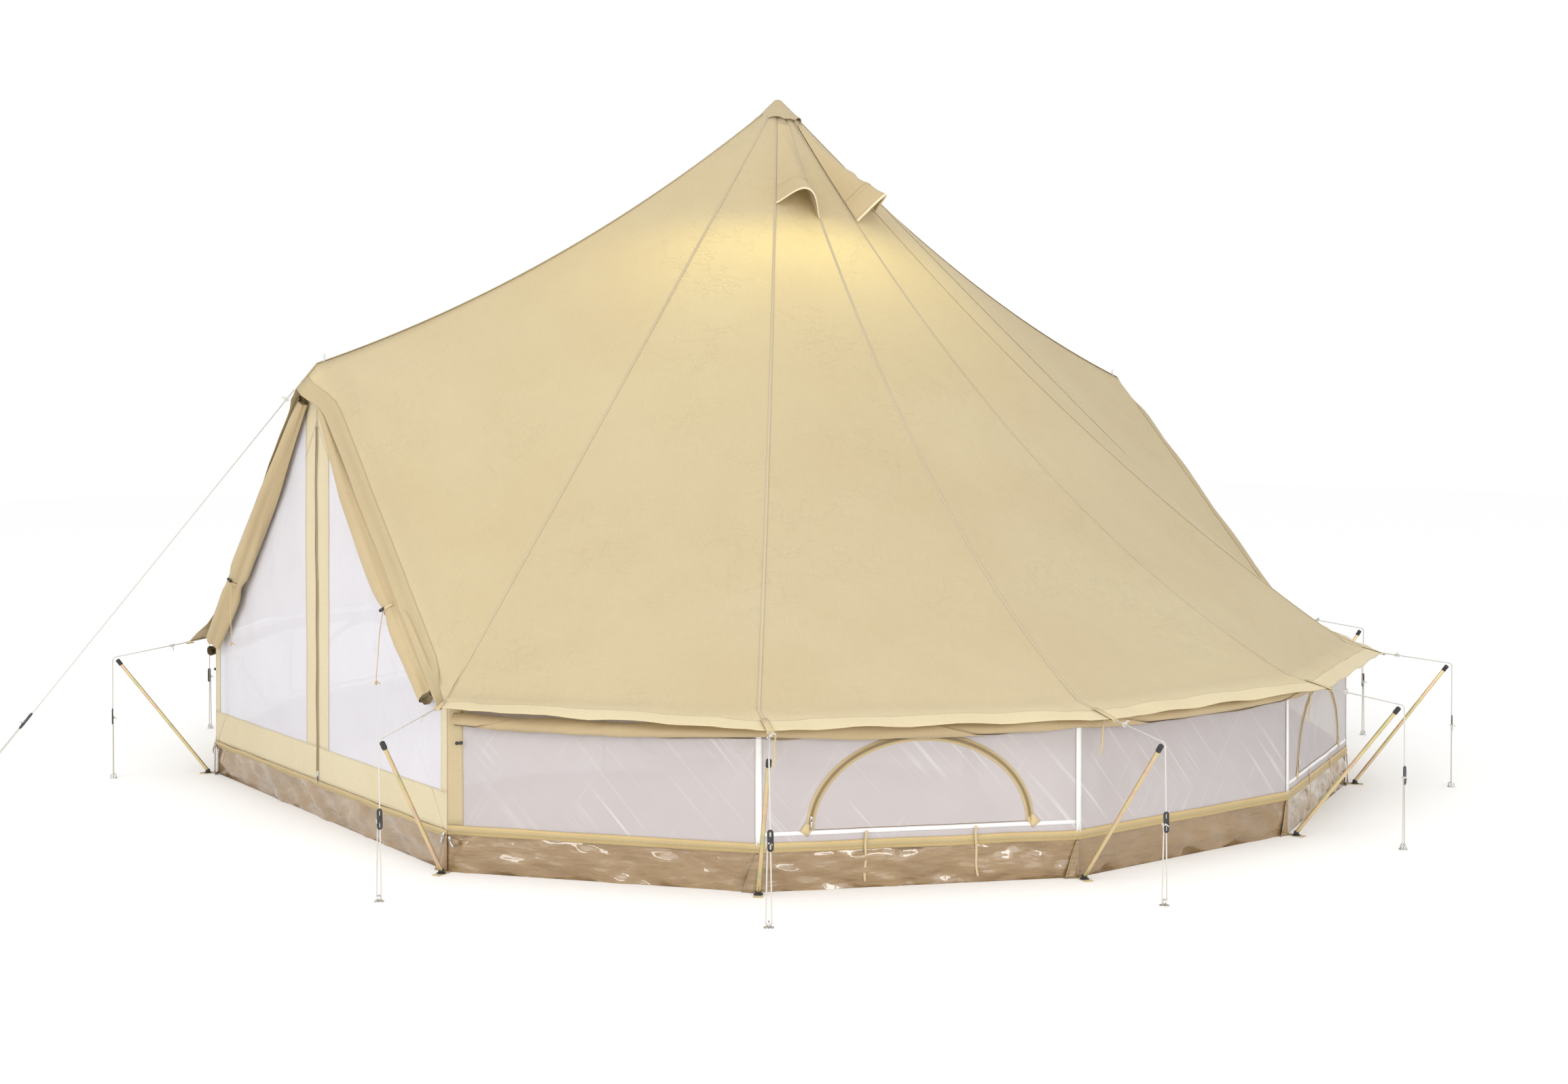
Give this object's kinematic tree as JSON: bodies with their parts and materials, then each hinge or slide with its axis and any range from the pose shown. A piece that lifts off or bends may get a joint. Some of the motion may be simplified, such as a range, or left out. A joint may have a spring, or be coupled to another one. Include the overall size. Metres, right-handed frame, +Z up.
{
  "type": "bell tent",
  "caption": "Round canvas bell tent with a centre pole, mesh walls, rolled-up canvas walls, A-frame doors at both ends, and a tub groundsheet.",
  "frame": {"origin": "on the ground under the centre pole, at the middle of the groundsheet's underside", "axes": "+Z up, -Y out of the front door, +X to the tent's right seen along +Y, across its widest side"},
  "size_m": [5.8212, 7.4776, 2.995],
  "materials": {
    "canvas": "woven cotton canvas, sand",
    "mesh": "fine white mosquito mesh",
    "pvc": "glossy brown coated sheet",
    "pole_steel": "galvanised",
    "zinc_steel": "yellow iridescent zinc plate",
    "zip_metal": "satin",
    "cord": "braided"
  },
  "bodies": {
    "tent": {"apex_cap": "canvas", "centre_pole_lower": "pole_steel", "centre_pole_middle": "pole_steel", "centre_pole_upper": "pole_steel", "front_a_frame_crown": "pole_steel", "front_a_frame_leg_left": "pole_steel", "front_a_frame_leg_right": "pole_steel", "front_canvas_door_left": "canvas", "front_canvas_door_right": "canvas", "front_door_guy": "cord", "groundsheet_tub": "pvc", "guy_01": "cord", "guy_02": "cord", "guy_03": "cord", "guy_04": "cord", "guy_05": "cord", "guy_06": "cord", "guy_07": "cord", "guy_08": "cord", "guy_09": "cord", "guy_10": "cord", "guy_11": "cord", "guy_12": "cord", "mesh_wall_left": "mesh", "mesh_wall_right": "mesh", "rear_a_frame_crown": "pole_steel", "rear_a_frame_leg_left": "pole_steel", "rear_a_frame_leg_right": "pole_steel", "rear_canvas_door_left": "canvas", "rear_canvas_door_right": "canvas", "rear_door_guy": "cord", "rolled_wall_left": "canvas", "rolled_wall_right": "canvas", "roof_canvas": "canvas", "strut_01": "zinc_steel", "strut_02": "zinc_steel", "strut_03": "zinc_steel", "strut_04": "zinc_steel", "strut_05": "zinc_steel", "strut_06": "zinc_steel", "strut_07": "zinc_steel", "strut_08": "zinc_steel", "strut_09": "zinc_steel", "strut_10": "zinc_steel", "strut_11": "zinc_steel", "strut_12": "zinc_steel", "vent_hood_left_2": "canvas", "vent_hood_left_4": "canvas", "vent_hood_right_2": "canvas", "vent_hood_right_4": "canvas"},
    "front_leaf_right": {"front_mesh_door_right": "mesh"},
    "front_leaf_left": {"front_mesh_door_left": "mesh"},
    "front_slider": {"front_door_slider": "zip_metal"},
    "rear_leaf_right": {"rear_mesh_door_right": "mesh"},
    "rear_leaf_left": {"rear_mesh_door_left": "mesh"},
    "rear_slider": {"rear_door_slider": "zip_metal"},
    "window_right_2": {"window_flap_right_2": "mesh"},
    "window_right_4": {"window_flap_right_4": "mesh"},
    "window_left_2": {"window_flap_left_2": "mesh"},
    "window_left_4": {"window_flap_left_4": "mesh"}
  },
  "joints": [
    {"name": "front_leaf_right_hinge", "type": "hinge", "parent": "tent", "child": "front_leaf_right", "pos_m": [1.1012, -2.24109, 0.141], "axis": [-0.6153, 0.0117, 0.7882], "range_deg": [0, 85]},
    {"name": "front_leaf_left_hinge", "type": "hinge", "parent": "tent", "child": "front_leaf_left", "pos_m": [-1.1012, -2.24109, 0.141], "axis": [-0.6153, -0.0117, -0.7882], "range_deg": [0, 85]},
    {"name": "front_zip_slide", "type": "slide", "parent": "front_leaf_right", "child": "front_slider", "axis": [0, 0.0148, 0.9999], "range_m": [0, 1.3]},
    {"name": "rear_leaf_right_hinge", "type": "hinge", "parent": "tent", "child": "rear_leaf_right", "pos_m": [1.1012, 2.24109, 0.141], "axis": [0.6153, 0.0117, -0.7882], "range_deg": [0, 85]},
    {"name": "rear_leaf_left_hinge", "type": "hinge", "parent": "tent", "child": "rear_leaf_left", "pos_m": [-1.1012, 2.24109, 0.141], "axis": [0.6153, -0.0117, 0.7882], "range_deg": [0, 85]},
    {"name": "rear_zip_slide", "type": "slide", "parent": "rear_leaf_right", "child": "rear_slider", "axis": [0, -0.0148, 0.9999], "range_m": [0, 1.3]},
    {"name": "window_right_2_hinge", "type": "hinge", "parent": "tent", "child": "window_right_2", "pos_m": [2.23176, -1.04878, 0.20152], "axis": [0.4357, 0.9001, 0], "range_deg": [0, 110]},
    {"name": "window_right_4_hinge", "type": "hinge", "parent": "tent", "child": "window_right_4", "pos_m": [2.23176, 1.04878, 0.20152], "axis": [-0.4357, 0.9001, 0], "range_deg": [0, 110]},
    {"name": "window_left_2_hinge", "type": "hinge", "parent": "tent", "child": "window_left_2", "pos_m": [-2.23176, -1.04878, 0.20152], "axis": [0.4357, -0.9001, 0], "range_deg": [0, 110]},
    {"name": "window_left_4_hinge", "type": "hinge", "parent": "tent", "child": "window_left_4", "pos_m": [-2.23176, 1.04878, 0.20152], "axis": [-0.4357, -0.9001, 0], "range_deg": [0, 110]}
  ]
}
